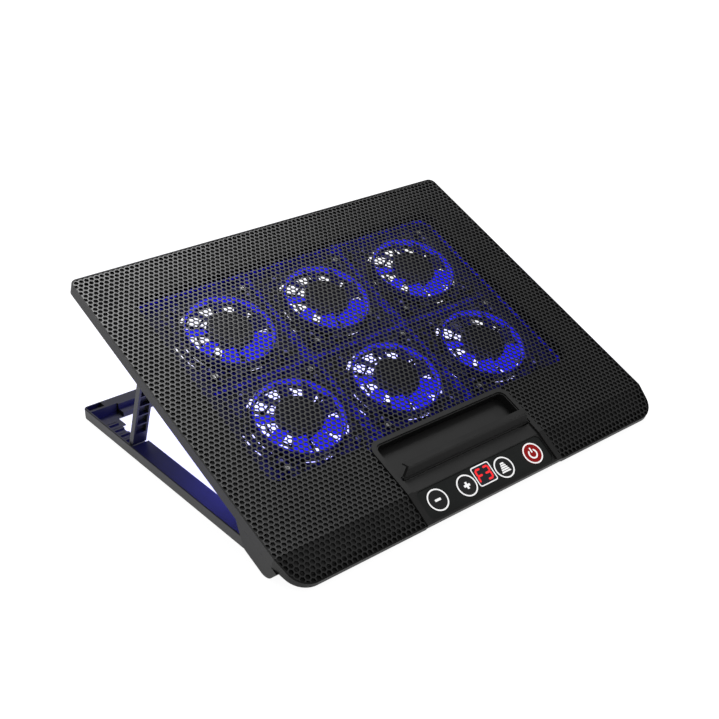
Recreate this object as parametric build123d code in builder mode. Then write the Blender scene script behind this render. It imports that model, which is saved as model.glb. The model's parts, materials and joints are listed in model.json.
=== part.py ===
from build123d import *
import os
from math import atan2, cos, degrees, pi, radians, sin

os.makedirs("parts", exist_ok=True)

# Laptop cooling pad, standing on its base frame with the pad raised by its prop legs.
# Origin: middle of the footprint on the table. +X to the right, +Y to the back, +Z up.
# Pad sizes are taken from the back edge of its top face: y runs back, z along the pad's normal.

# ---- driving dimensions, millimetres and degrees
PAD_WIDTH = 380.0
PAD_DEPTH = 313.5
PAD_TILT = 22.85
RIM_HEIGHT = 9.3
BACK_RADIUS = 6.0
FRONT_RADIUS = 18.0
FRONT_TAPER = 6.0
SLOPE_START = 287.0
SLOPE_DROP = 5.4

HINGE_BACK = 281.5
HINGE_BELOW = 18.5
HINGE_HEIGHT = 6.3
BASE_OVERHANG = 17.5
BASE_TOP = 9.6
BASE_BOTTOM = 0.6
RAIL_OUT = 183.4
RAIL_IN = 167.5

SHELL_INSET = 4.0
SHELL_WALL = 1.8
SHELL_BOTTOM = -14.8
SHELL_FLOOR = -13.2
SHELL_FRONT = -268.0
FRONT_FLOOR = -8.3

MESH_TOP = -0.2
MESH_THICK = 0.8
MESH_INSET = 1.2
LEDGE_TOP = -1.4
FLANGE_BOTTOM = -4.0
FLANGE_INSET = 6.6
HEX_PITCH = 13.4
HEX_FLATS = 11.2

FAN_PITCH_X = 96.5
FAN_ROWS = (-90.0, -187.0)
FAN_SIZE = 86.0
FAN_BORE = 35.5
FAN_WALL = 1.6
FAN_TOP = -5.2
PLATE_THICK = 1.2
HUB_RADIUS = 19.0
HUB_TOP = -4.6
BLADE_TIP = 34.2
BLADE_COUNT = 9
SLOT_RADII = (37.5, 40.1)
SLOT_TURN = 46.0
SLOT_SPAN = 15.0
SLOT_OFFSETS = (-10.0, 10.0)
VENT_RADIUS = 45.6
VENT_TURN = 190.0
POST_TOP = -8.0
HUB_HEIGHT = 5.6
LED_SPOTS = [(29.0, -36.5), (-29.0, 36.5), (36.5, 29.0), (-36.5, -29.0)]
FAN_SCREW_SPOTS = [(36.5, 36.5), (-36.5, -36.5)]

PANEL_HALF = 71.0
PANEL_BACK = -236.0
PANEL_RISE = 0.8
PANEL_BOTTOM = -8.2
BORDER = 5.0
FLAP_ANGLE = 60.0
FLAP_LENGTH = 8.8
FLAP_LIP = 4.6
LIP_THICK = 1.7
FLAP_THICK = 2.6
FLAP_HALF = 65.0
FLAP_Y = -273.6
FLAP_Z = -0.8
BUTTON_RADIUS = 9.15
BUTTON_X = {"minus": -50.0, "plus": -20.6, "mode": 18.5, "power": 50.0}
BUTTON_Y = -12.4
DISPLAY = (18.8, 16.8)
DISPLAY_SPOT = (-1.1, -10.2)

LEG_Y = -97.7
LEG_Z = -11.5
LEG_ANGLE = -93.0
LEG_LENGTH = 80.0
LEG_OUT = 181.2
LEG_IN = 168.8
LEG_DEPTH = 5.0

RUNNING = 0.05
COS = cos(radians(PAD_TILT))
SIN = sin(radians(PAD_TILT))
LIP_TOP = SLOPE_DROP - PANEL_RISE
PAD_Y = (PAD_DEPTH * COS - LIP_TOP * SIN - BASE_OVERHANG) / 2
PAD_Z = HINGE_HEIGHT + HINGE_BACK * SIN + HINGE_BELOW * COS
BASE_BACK = PAD_Y + BASE_OVERHANG
HINGE_Y = PAD_Y - HINGE_BACK * COS + HINGE_BELOW * SIN
SLOPE_ANGLE = degrees(atan2(SLOPE_DROP, PAD_DEPTH - SLOPE_START))

# ---- the pad's own planes
PAD = Plane(origin=(0, PAD_Y, PAD_Z), x_dir=(1, 0, 0), z_dir=(0, -SIN, COS))
PAD_SIDE = Plane(origin=(0, PAD_Y, PAD_Z), x_dir=(0, COS, SIN), z_dir=(1, 0, 0))


def pad_point(x, y, z):
    """Place of a point given in the pad's own measure."""
    return PAD.from_local_coords((x, y, z))


def turned_plane(x, y, z, angle):
    """Plane across the pad whose own y leans by this angle from the pad's."""
    lean = radians(PAD_TILT + angle)
    return Plane(origin=pad_point(x, y, z), x_dir=(1, 0, 0), z_dir=(0, -sin(lean), cos(lean)))


FACE = turned_plane(0, -SLOPE_START, -PANEL_RISE, SLOPE_ANGLE)


def pad_outline(inset, height=0.0):
    """Plan of the pad, square behind and drawn in a little at the front."""
    side = PAD_WIDTH / 2 - inset
    front = PAD_DEPTH - inset
    nose = side - FRONT_TAPER
    with BuildSketch(PAD.offset(height)) as plan:
        with BuildLine():
            Polyline(
                (-side, -inset), (side, -inset), (side, -SLOPE_START), (nose, -front),
                (-nose, -front), (-side, -SLOPE_START), close=True,
            )
        make_face()
        corners = plan.vertices().group_by(Axis.Y)
        fillet(corners[-1], max(BACK_RADIUS - inset, 2.0))
        fillet(plan.vertices().group_by(Axis.Y)[0], max(FRONT_RADIUS - inset, 2.0))
    return plan.sketch


def bent_profile(top, bottom):
    """Side section of a layer that is flat and then falls away at the front."""
    reach = 20.0
    rate = SLOPE_DROP / (PAD_DEPTH - SLOPE_START)
    end = -(PAD_DEPTH + reach)
    fall = rate * (PAD_DEPTH + reach - SLOPE_START)
    with BuildSketch(PAD_SIDE) as section:
        with BuildLine():
            Polyline(
                (reach, top), (-SLOPE_START, top), (end, top - fall),
                (end, bottom - fall), (-SLOPE_START, bottom), (reach, bottom), close=True,
            )
        make_face()
    return section.sketch


def bent_layer(inset, top, bottom):
    """Layer of the pad's plan that follows the front slope."""
    with BuildPart() as layer:
        extrude(bent_profile(top, bottom), amount=PAD_WIDTH, both=True)
        extrude(pad_outline(inset, -40.0), amount=80.0, mode=Mode.INTERSECT)
    return layer.part


def pad_block(x, y, z_low, z_high):
    """Box between two x, two y and two z values in the pad's own measure."""
    with BuildPart() as block:
        with BuildSketch(PAD.offset(z_low)):
            with Locations(((x[0] + x[1]) / 2, (y[0] + y[1]) / 2)):
                Rectangle(abs(x[1] - x[0]), abs(y[1] - y[0]))
        extrude(amount=z_high - z_low)
    return block.part


def rod(x_low, x_high, centre, radius):
    """Round bar along X through a centre point."""
    start = Plane(origin=(x_low, centre.Y, centre.Z), x_dir=(0, 1, 0), z_dir=(1, 0, 0))
    with BuildPart() as bar:
        with BuildSketch(start):
            Circle(radius)
        extrude(amount=x_high - x_low)
    return bar.part


def finish(builder, name):
    """Name a piece and write it out."""
    builder.part.label = name
    export_step(builder.part, f"parts/{name}.step")


HINGE = Vector(0, HINGE_Y, HINGE_HEIGHT)
LEG_PIVOT = pad_point(0, LEG_Y, LEG_Z)
FLAP_PIVOT = pad_point(0, FLAP_Y, FLAP_Z)
SIDES = {"left": -1, "right": 1}
FANS = [(col * FAN_PITCH_X, row) for row in FAN_ROWS for col in (-1, 0, 1)]

# Casing screws stand in posts just inside the wall.
SCREW_INSET = 9.0
SCREW_SPOTS = [(x, -SCREW_INSET) for x in (-150.0, -75.0, 0.0, 75.0)]
SCREW_SPOTS += [(side * (PAD_WIDTH / 2 - SCREW_INSET), y) for side in (-1, 1) for y in (-130.0, -225.0)]

# Pairs of arc slots round each fan's duct, cut through its plate and the casing below it.
SLOT_COUNT = 5
SPOKE_TURN = SLOT_TURN + 180.0 / SLOT_COUNT
SLOT_MIDDLE = (SLOT_RADII[0] + SLOT_RADII[1]) / 2
SLOT_WIDTH = SLOT_RADII[1] - SLOT_RADII[0]
with BuildSketch() as slots:
    for number in range(SLOT_COUNT):
        for offset in SLOT_OFFSETS:
            start = SLOT_TURN + number * 360.0 / SLOT_COUNT + offset - SLOT_SPAN / 2
            with BuildLine():
                line = CenterArc((0, 0), SLOT_MIDDLE, start, SLOT_SPAN)
            SlotArc(line, SLOT_WIDTH)
fan_slots = slots.sketch
# One more pair beside each fan, in the casing alone.
with BuildSketch() as vents:
    for offset in SLOT_OFFSETS:
        with BuildLine():
            line = CenterArc((0, 0), VENT_RADIUS, VENT_TURN + offset - SLOT_SPAN / 2, SLOT_SPAN)
        SlotArc(line, SLOT_WIDTH - 0.6)
side_vents = vents.sketch

# USB sockets in the back wall.
USB_SPOTS = (112.0, 136.0)
USB_WIDTH = 13.2
USB_LOW = -8.9
USB_HIGH = -3.1

# ---- upper frame: thin rim round the sheet, with a ledge under the sheet's border
with BuildPart() as upper_frame:
    extrude(pad_outline(0), amount=-RIM_HEIGHT)
    extrude(bent_profile(20.0, 0.0), amount=PAD_WIDTH, both=True, mode=Mode.SUBTRACT)
    add(bent_layer(MESH_INSET, 5.0, LEDGE_TOP), mode=Mode.SUBTRACT)
    extrude(pad_outline(FLANGE_INSET), amount=-2 * RIM_HEIGHT, mode=Mode.SUBTRACT)
    add(bent_layer(SHELL_INSET - 0.1, FLANGE_BOTTOM, -30.0), mode=Mode.SUBTRACT)
    for x, y in SCREW_SPOTS:
        with BuildSketch(PAD.offset(FLANGE_BOTTOM)):
            with Locations((x, y)):
                Circle(3.4)
        extrude(amount=LEDGE_TOP - FLANGE_BOTTOM)
        with BuildSketch(PAD.offset(FLANGE_BOTTOM)):
            with Locations((x, y)):
                Circle(0.95)
        extrude(amount=LEDGE_TOP - FLANGE_BOTTOM, mode=Mode.SUBTRACT)
    front_gap = (-PANEL_HALF - 0.1, PANEL_HALF + 0.1)
    add(pad_block(front_gap, (-340.0, -300.0), -20.0, 5.0), mode=Mode.SUBTRACT)
    for side in (-1, 1):
        relief = (side * 166.0, side * (PAD_WIDTH / 2 - SHELL_INSET + 0.1))
        add(pad_block(relief, (-109.0, -9.0), -20.0, LEDGE_TOP), mode=Mode.SUBTRACT)
    for x in USB_SPOTS:
        half = USB_WIDTH / 2 + 0.2
        add(pad_block((x - half, x + half), (-8.0, 5.0), USB_LOW - 0.2, USB_HIGH + 0.2), mode=Mode.SUBTRACT)
finish(upper_frame, "upper_frame")

# ---- top sheet: bent metal, open over the fans, cut away round the control housing
with BuildPart() as top_mesh:
    add(bent_layer(MESH_INSET + 0.1, MESH_TOP, MESH_TOP - MESH_THICK))
    gap = 0.15
    with BuildSketch(PAD.offset(-20.0)):
        with Locations((0, (PANEL_BACK + gap - 340.0) / 2)):
            RectangleRounded(2 * (PANEL_HALF + gap), PANEL_BACK + gap + 340.0, 9.5)
    extrude(amount=40.0, mode=Mode.SUBTRACT)
    row_step = HEX_PITCH * cos(pi / 6)
    holes = [
        ((col + (row % 2) / 2) * HEX_PITCH, -42.0 - row * row_step)
        for row in range(17) for col in range(-11, 11)
    ]
    with BuildSketch(PAD.offset(-20.0)):
        with Locations(*holes):
            RegularPolygon(HEX_FLATS / 2, 6, major_radius=False, rotation=30)
    extrude(amount=40.0, mode=Mode.SUBTRACT)
finish(top_mesh, "top_mesh")

# ---- casing underside: tray with six grilles, leg pockets and screw posts
LEG_POCKET = (182.6, 167.9)
POCKET_Y = (-107.0, -12.0)
POCKET_TOP = -2.5
SHELL_TOP = FLANGE_BOTTOM - 0.2
WELL_HALF = 154.6
WELL_BACK = -35.0
WELL_FRONT = -235.0
WELL_RIB = 2.6
LOOM_WIDE = 3.2
LOOM_X = FAN_PITCH_X / 2
LOOM_Y = (FAN_ROWS[0] + FAN_ROWS[1]) / 2
FRONT = (-340.0, -300.0)
with BuildPart() as hollow:
    extrude(pad_outline(SHELL_INSET + SHELL_WALL, SHELL_FLOOR), amount=20.0)
    add(pad_block((-200, 200), (-340.0, SHELL_FRONT + SHELL_WALL), -30.0, FRONT_FLOOR), mode=Mode.SUBTRACT)
with BuildPart() as bottom_shell:
    extrude(pad_outline(SHELL_INSET, SHELL_BOTTOM), amount=SHELL_TOP - SHELL_BOTTOM)
    add(hollow.part, mode=Mode.SUBTRACT)
    add(pad_block((-200, 200), (-340.0, SHELL_FRONT), -30.0, -RIM_HEIGHT), mode=Mode.SUBTRACT)
    extrude(bent_profile(20.0, SHELL_TOP), amount=PAD_WIDTH, both=True, mode=Mode.SUBTRACT)
    add(pad_block((-PANEL_HALF - 0.3, PANEL_HALF + 0.3), FRONT, FRONT_FLOOR, 5.0), mode=Mode.SUBTRACT)
    # Low rib round the fan bay.
    with BuildSketch(PAD.offset(SHELL_FLOOR)):
        with Locations((0, (WELL_BACK + WELL_FRONT) / 2)):
            RectangleRounded(2 * WELL_HALF, WELL_BACK - WELL_FRONT, 12.0)
            RectangleRounded(2 * WELL_HALF - 2.4, WELL_BACK - WELL_FRONT - 2.4, 10.8, mode=Mode.SUBTRACT)
        with Locations((-LOOM_X, LOOM_Y), (LOOM_X, LOOM_Y)):
            Rectangle(LOOM_WIDE + 1.0, 240.0, mode=Mode.SUBTRACT)
    extrude(amount=WELL_RIB)
    for x, y in SCREW_SPOTS:
        with BuildSketch(PAD.offset(SHELL_BOTTOM)):
            with Locations((x, y)):
                Circle(3.0)
        extrude(amount=SHELL_TOP - SHELL_BOTTOM)
    for side in (-1, 1):
        wall = (side * (PAD_WIDTH / 2 - SHELL_INSET), side * (LEG_POCKET[1] - 1.6))
        reach = (POCKET_Y[0] - 1.6, POCKET_Y[1] + 1.6)
        add(pad_block(wall, reach, SHELL_BOTTOM, POCKET_TOP + 1.0))
        cut = (side * LEG_POCKET[0], side * LEG_POCKET[1])
        add(pad_block(cut, POCKET_Y, -30.0, POCKET_TOP), mode=Mode.SUBTRACT)
        pin_ends = sorted((side * 186.5, side * 167.5))
        add(rod(*pin_ends, LEG_PIVOT, 1.52), mode=Mode.SUBTRACT)
    for x, y in FANS:
        with BuildSketch(PAD.offset(SHELL_BOTTOM)):
            with Locations((x, y)):
                Circle(FAN_BORE - 1.0)
                Circle(26.0, mode=Mode.SUBTRACT)
                Circle(24.2)
                Circle(15.0, mode=Mode.SUBTRACT)
                with PolarLocations(25.0, SLOT_COUNT, start_angle=SPOKE_TURN):
                    Rectangle(24.0, 2.4, mode=Mode.SUBTRACT)
        extrude(amount=SHELL_FLOOR - SHELL_BOTTOM, mode=Mode.SUBTRACT)
        with BuildSketch(PAD.offset(SHELL_BOTTOM)):
            with Locations((x, y)):
                add(fan_slots)
                add(side_vents)
        extrude(amount=SHELL_FLOOR - SHELL_BOTTOM, mode=Mode.SUBTRACT)
    for x, y in SCREW_SPOTS:
        with BuildSketch(PAD.offset(SHELL_BOTTOM)):
            with Locations((x, y)):
                Circle(1.1)
        extrude(amount=20.0, mode=Mode.SUBTRACT)
        with BuildSketch(PAD.offset(SHELL_BOTTOM)):
            with Locations((x, y)):
                Circle(2.2)
        extrude(amount=1.4, mode=Mode.SUBTRACT)
    for x in USB_SPOTS:
        half = USB_WIDTH / 2 + 0.2
        add(pad_block((x - half, x + half), (-8.0, 5.0), USB_LOW - 0.2, 5.0), mode=Mode.SUBTRACT)
finish(bottom_shell, "bottom_shell")

# ---- casing screws, from below into the upper frame's tabs
with BuildPart() as case_screws:
    for x, y in SCREW_SPOTS:
        with BuildSketch(PAD.offset(SHELL_BOTTOM + 0.2)):
            with Locations((x, y)):
                Circle(2.0)
        extrude(amount=1.2)
        with BuildSketch(PAD.offset(SHELL_BOTTOM + 0.2)):
            with Locations((x, y)):
                Circle(0.9)
        extrude(amount=11.8)
        with BuildSketch(PAD.offset(SHELL_BOTTOM + 0.2)):
            with Locations((x, y)):
                Rectangle(2.4, 0.6)
                Rectangle(0.6, 2.4)
        extrude(amount=0.7, mode=Mode.SUBTRACT)
finish(case_screws, "case_screws")

# ---- side cheeks: carry the base frame's hinge and end in a round foot
CHEEK_BOTTOM = -(HINGE_BELOW + 6.1)
CHEEK_TOP = -RIM_HEIGHT - 0.05
CHEEK_THICK = 3.9
CHEEK_REACH = 5.8
for name, side in SIDES.items():
    outer = side * PAD_WIDTH / 2
    with BuildSketch(PAD_SIDE) as cheek_side:
        with BuildLine():
            Polyline(
                (-243.0, CHEEK_TOP), (-257.5, CHEEK_BOTTOM + 1.0), (-260.0, CHEEK_BOTTOM),
                (-HINGE_BACK, CHEEK_BOTTOM),
            )
            ThreePointArc((-HINGE_BACK, CHEEK_BOTTOM), (-287.0, -22.3), (-290.0, -19.0))
            Polyline((-290.0, -19.0), (-294.0, CHEEK_TOP), (-243.0, CHEEK_TOP))
        make_face()
    # The lower part is thicker, inside the casing's width, to hold the hinge pin.
    with BuildPart() as boss:
        extrude(Location((outer, 0, 0)) * cheek_side.sketch, amount=-side * CHEEK_REACH)
        add(pad_block((-200, 200), (-340, 0), -15.0, 0.0), mode=Mode.SUBTRACT)
    with BuildPart() as cheek:
        extrude(Location((outer, 0, 0)) * cheek_side.sketch, amount=-side * CHEEK_THICK)
        add(boss.part)
        bore_ends = sorted((outer - side * 7.0, outer - side * 1.5))
        add(rod(*bore_ends, HINGE, 2.02), mode=Mode.SUBTRACT)
    finish(cheek, f"cheek_{name}")

with BuildPart() as hinge_pins:
    for side in SIDES.values():
        add(rod(*sorted((side * 188.4, side * 172.0)), HINGE, 2.0))
finish(hinge_pins, "hinge_pins")

with BuildPart() as leg_pins:
    for side in SIDES.values():
        add(rod(*sorted((side * 185.9, side * 167.6)), LEG_PIVOT, 1.5))
finish(leg_pins, "leg_pins")

# ---- base frame: two rails, back bar and front bar, with ratchet ridges behind each leg
RAIL_WALL = 1.6
SEAT_FRONT = PAD_Y - 63.0
SEAT_BACK = SEAT_FRONT + 10.0
SEAT_TOP = 7.8
RATCHET_BACK = PAD_Y + 6.0
RATCHET_FLOOR = 1.4
RIDGE_PITCH = 9.5
RIDGE_LOW = 3.0
BAR_FRONT = PAD_Y - 4.2
BAR_STEP = PAD_Y + 4.0
BAR_LEDGE = 5.0
BASE_HEIGHT = BASE_TOP - BASE_BOTTOM
FRONT_BAR = (HINGE_Y + 13.0, HINGE_Y + 28.0)
FOOT_SPOTS = [(side * 175.5, y) for side in (-1, 1) for y in (FRONT_BAR[0] + 6.0, BASE_BACK - 6.5)]
with BuildPart() as base_frame:
    with BuildSketch(Plane.XY.offset(BASE_BOTTOM)):
        with Locations((0, (HINGE_Y + BASE_BACK) / 2)):
            Rectangle(2 * RAIL_OUT, BASE_BACK - HINGE_Y)
        with Locations((0, (FRONT_BAR[1] + BAR_FRONT) / 2)):
            Rectangle(2 * RAIL_IN, BAR_FRONT - FRONT_BAR[1], mode=Mode.SUBTRACT)
        with Locations((0, HINGE_Y)):
            Rectangle(2 * RAIL_IN, 2 * (FRONT_BAR[0] - HINGE_Y), mode=Mode.SUBTRACT)
        for side in SIDES.values():
            with Locations((side * (RAIL_IN - 2.2), BAR_FRONT - 6.0)):
                Rectangle(5.0, 14.0)
    extrude(amount=BASE_HEIGHT)
    back_edges = base_frame.edges().filter_by(Axis.Z).group_by(Axis.Y)[-1]
    fillet(back_edges, 4.0)
    fillet(base_frame.faces().sort_by(Axis.Z)[-1].outer_wire().edges(), 0.8)
    with BuildSketch(Plane.XY.offset(BAR_LEDGE)):
        with Locations((0, (BAR_FRONT + BAR_STEP) / 2)):
            Rectangle(2 * (RAIL_IN + 0.5), BAR_STEP - BAR_FRONT)
        with Locations((0, BAR_FRONT - 6.0)):
            Rectangle(2 * (RAIL_IN + 0.5), 14.0)
    extrude(amount=BASE_HEIGHT, mode=Mode.SUBTRACT)
    # A rail is a channel from below, ahead of its ratchet.
    for side in SIDES.values():
        centre = side * (RAIL_OUT + RAIL_IN) / 2
        with BuildSketch(Plane.XY.offset(BASE_BOTTOM)):
            with Locations((centre, (FRONT_BAR[1] + SEAT_FRONT) / 2)):
                Rectangle(RAIL_OUT - RAIL_IN - 4.4, SEAT_FRONT - FRONT_BAR[1] - 4.0)
        extrude(amount=BASE_HEIGHT - 2.0, mode=Mode.SUBTRACT)
        # Recess of the ratchet, open to the inner side.
        recess = (RAIL_OUT - RAIL_WALL + RAIL_IN - 10.0) / 2
        with BuildSketch(Plane.XY.offset(RATCHET_FLOOR)):
            with Locations((side * recess, (SEAT_FRONT + RATCHET_BACK) / 2)):
                Rectangle(RAIL_OUT - RAIL_WALL - RAIL_IN + 10.0, RATCHET_BACK - SEAT_FRONT)
        extrude(amount=BASE_HEIGHT, mode=Mode.SUBTRACT)
        # Ramp under the leg's foot, then ridges with an upright front, lower from one to the next.
        low, high = sorted((side * RAIL_IN, side * (RAIL_OUT - RAIL_WALL)))
        with BuildSketch(Plane.YZ.offset(low)):
            with BuildLine():
                Polyline(
                    (SEAT_FRONT - 0.5, RATCHET_FLOOR - 0.5), (SEAT_FRONT - 0.5, SEAT_TOP),
                    (SEAT_BACK, SEAT_TOP - 3.2), (SEAT_BACK, RATCHET_FLOOR - 0.5), close=True,
                )
            make_face()
            for step in range(1, 6):
                foot = SEAT_BACK - RIDGE_PITCH + step * RIDGE_PITCH + 1.5
                crest = max(RIDGE_LOW, SEAT_TOP - 2.6 - step * 0.9)
                with BuildLine():
                    Polyline(
                        (foot, RATCHET_FLOOR - 0.5), (foot, crest), (foot + 1.6, crest),
                        (foot + RIDGE_PITCH - 2.5, RATCHET_FLOOR - 0.5), close=True,
                    )
                make_face()
        extrude(amount=high - low)
        # Corner block's pocket.
        with BuildSketch(Plane.XY.offset(BASE_TOP)):
            with Locations((side * 174.8, BASE_BACK - 5.2)):
                Rectangle(13.6, 7.6)
        extrude(amount=-3.6, mode=Mode.SUBTRACT)
        ends = sorted((side * RAIL_OUT, side * RAIL_IN))
        add(rod(*ends, HINGE, BASE_TOP - HINGE_HEIGHT))
        add(rod(*sorted((side * (RAIL_OUT + 1), side * 171.5)), HINGE, 2.0 + RUNNING), mode=Mode.SUBTRACT)
    with BuildSketch(Plane.YZ):
        with BuildLine():
            Polyline(
                (HINGE_Y - 10.0, -1.0), (HINGE_Y + 7.0, -1.0), (HINGE_Y + 4.0, BASE_BOTTOM),
                (HINGE_Y, HINGE_HEIGHT - 3.3), (HINGE_Y - 10.0, HINGE_HEIGHT - 3.3), close=True,
            )
        make_face()
    extrude(amount=PAD_WIDTH, both=True, mode=Mode.SUBTRACT)
    with BuildSketch(Plane.XY.offset(BASE_BOTTOM)):
        with Locations(*FOOT_SPOTS):
            Circle(5.1)
    extrude(amount=1.1, mode=Mode.SUBTRACT)
finish(base_frame, "base_frame")

with BuildPart() as base_feet:
    with BuildSketch(Plane.XY):
        with Locations(*FOOT_SPOTS):
            Circle(5.0)
    extrude(amount=BASE_BOTTOM + 1.0)
finish(base_feet, "base_feet")

# ---- prop legs: ribbed channels open to the front, hinged under the pad
for name, side in SIDES.items():
    middle = side * (LEG_OUT + LEG_IN) / 2
    width = LEG_OUT - LEG_IN
    along = turned_plane(0, LEG_Y, LEG_Z, LEG_ANGLE + 180.0)
    with BuildPart() as leg:
        with BuildSketch(along.offset(-LEG_DEPTH / 2)):
            with Locations((middle, -LEG_LENGTH / 2)):
                Rectangle(width, LEG_LENGTH)
        extrude(amount=LEG_DEPTH)
        tip = leg.edges().filter_by(Axis.X).sort_by(Axis.Z)[:2]
        fillet(tip, 1.8)
        with BuildSketch(along.offset(LEG_DEPTH / 2)):
            for rib in range(6):
                with Locations((middle, -9.0 - rib * 10.6)):
                    Rectangle(width - 3.6, 9.2)
        extrude(amount=-3.2, mode=Mode.SUBTRACT)
        add(rod(*sorted((side * LEG_OUT, side * LEG_IN)), LEG_PIVOT, 3.2))
        add(rod(*sorted((side * 190.0, side * 160.0)), LEG_PIVOT, 1.5 + RUNNING), mode=Mode.SUBTRACT)
    finish(leg, f"leg_{name}")

# ---- six fans: duct on a square plate, motor on three arms, rotor with nine twisted blades
ARM_COUNT = 3
BLADE_MIDDLE = -8.5
BLADE_RISE = 3.0
BLADE_THICK = 0.9
BLADE_TURN = 37.5
BLADE_STEP = 360.0 / BLADE_COUNT
# A blade's root and outer sections: radius, half its width round the fan, and sweep in degrees.
BLADE_SECTIONS = ((HUB_RADIUS - 0.8, 4.6, -3.0), (BLADE_TIP + 2.0, 7.0, 3.0))


def blade_plane(spot, radius, half_width, angle):
    """Plane across a blade at a radius, its x along the blade's slanted section."""
    turn = radians(angle)
    outward = spot.x_dir * cos(turn) + spot.y_dir * sin(turn)
    around = spot.y_dir * cos(turn) - spot.x_dir * sin(turn)
    centre = spot.from_local_coords((radius * cos(turn), radius * sin(turn), BLADE_MIDDLE))
    return Plane(origin=centre, x_dir=around * half_width + spot.z_dir * BLADE_RISE, z_dir=outward)


for number, (x, y) in enumerate(FANS, start=1):
    spot = Plane(origin=pad_point(x, y, 0), x_dir=PAD.x_dir, z_dir=PAD.z_dir)
    with BuildPart() as fan_frame:
        with BuildSketch(spot.offset(SHELL_FLOOR)):
            RectangleRounded(FAN_SIZE, FAN_SIZE, 8.0)
            Circle(FAN_BORE, mode=Mode.SUBTRACT)
            add(fan_slots, mode=Mode.SUBTRACT)
        extrude(amount=PLATE_THICK)
        with BuildSketch(spot.offset(SHELL_FLOOR)):
            Circle(FAN_BORE + FAN_WALL)
            Circle(FAN_BORE, mode=Mode.SUBTRACT)
        extrude(amount=FAN_TOP - SHELL_FLOOR)
        with BuildSketch(spot.offset(SHELL_FLOOR)):
            with Locations(*FAN_SCREW_SPOTS, *LED_SPOTS):
                Circle(3.0)
        extrude(amount=POST_TOP - SHELL_FLOOR)
        with BuildSketch(spot.offset(SHELL_FLOOR)):
            with Locations(*FAN_SCREW_SPOTS):
                Circle(1.3)
            with Locations(*LED_SPOTS):
                Circle(1.6)
        extrude(amount=POST_TOP - SHELL_FLOOR, mode=Mode.SUBTRACT)
        with BuildSketch(spot.offset(SHELL_FLOOR)):
            with PolarLocations(25.0, ARM_COUNT, start_angle=20):
                Rectangle(24.0, 3.0)
            Circle(14.0)
            Circle(2.6, mode=Mode.SUBTRACT)
        extrude(amount=1.0)
    finish(fan_frame, f"fan_frame_{number}")

    with BuildPart() as fan_motor:
        with BuildSketch(spot.offset(SHELL_FLOOR + 1.05)):
            Circle(12.0)
        extrude(amount=0.6)
        with BuildSketch(spot.offset(SHELL_FLOOR + 1.05)):
            Circle(2.5)
        extrude(amount=5.2)
        with BuildSketch(spot.offset(SHELL_FLOOR + 1.65)):
            with PolarLocations(0, 4):
                Rectangle(24.0, 5.0)
        extrude(amount=3.4)
        with BuildSketch(spot.offset(SHELL_FLOOR + 1.65)):
            Circle(0.8)
        extrude(amount=7.0, mode=Mode.SUBTRACT)
    finish(fan_motor, f"fan_motor_{number}")

    with BuildPart() as fan_rotor:
        with BuildSketch(spot.offset(HUB_TOP)):
            Circle(HUB_RADIUS)
        extrude(amount=-HUB_HEIGHT)
        fillet(fan_rotor.faces().sort_by(Axis.Z)[-1].edges(), 0.8)
        with BuildSketch(spot.offset(HUB_TOP - 1.2)):
            Circle(HUB_RADIUS - 1.4)
        extrude(amount=-HUB_HEIGHT, mode=Mode.SUBTRACT)
        with BuildSketch(spot.offset(HUB_TOP - 1.0)):
            Circle(0.75)
        extrude(amount=1.0 - HUB_HEIGHT)
        for blade in range(BLADE_COUNT):
            for radius, half_width, sweep in BLADE_SECTIONS:
                angle = BLADE_TURN + blade * BLADE_STEP + sweep
                with BuildSketch(blade_plane(spot, radius, half_width, angle)):
                    Rectangle(2 * (half_width ** 2 + BLADE_RISE ** 2) ** 0.5, BLADE_THICK)
            loft(ruled=True)
        with BuildSketch(spot.offset(SHELL_FLOOR)):
            Circle(BLADE_TIP)
        extrude(amount=-SHELL_FLOOR, mode=Mode.INTERSECT)
    finish(fan_rotor, f"fan_rotor_{number}")

with BuildPart() as fan_screws:
    for fan in FANS:
        spots = [(fan[0] + x, fan[1] + y) for x, y in FAN_SCREW_SPOTS]
        with BuildSketch(PAD.offset(POST_TOP)):
            with Locations(*spots):
                Circle(2.3)
        extrude(amount=1.0)
        with BuildSketch(PAD.offset(POST_TOP)):
            with Locations(*spots):
                Circle(1.2)
        extrude(amount=SHELL_FLOOR + 0.1 - POST_TOP)
        with BuildSketch(PAD.offset(POST_TOP + 1.0)):
            with Locations(*spots):
                Rectangle(2.6, 0.6)
                Rectangle(0.6, 2.6)
        extrude(amount=-0.6, mode=Mode.SUBTRACT)
finish(fan_screws, "fan_screws")

with BuildPart() as fan_leds:
    for fan in FANS:
        with BuildSketch(PAD.offset(SHELL_FLOOR + 0.1)):
            with Locations(*[(fan[0] + x, fan[1] + y) for x, y in LED_SPOTS]):
                Circle(1.5)
        extrude(amount=POST_TOP + 0.8 - SHELL_FLOOR)
finish(fan_leds, "fan_leds")

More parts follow.
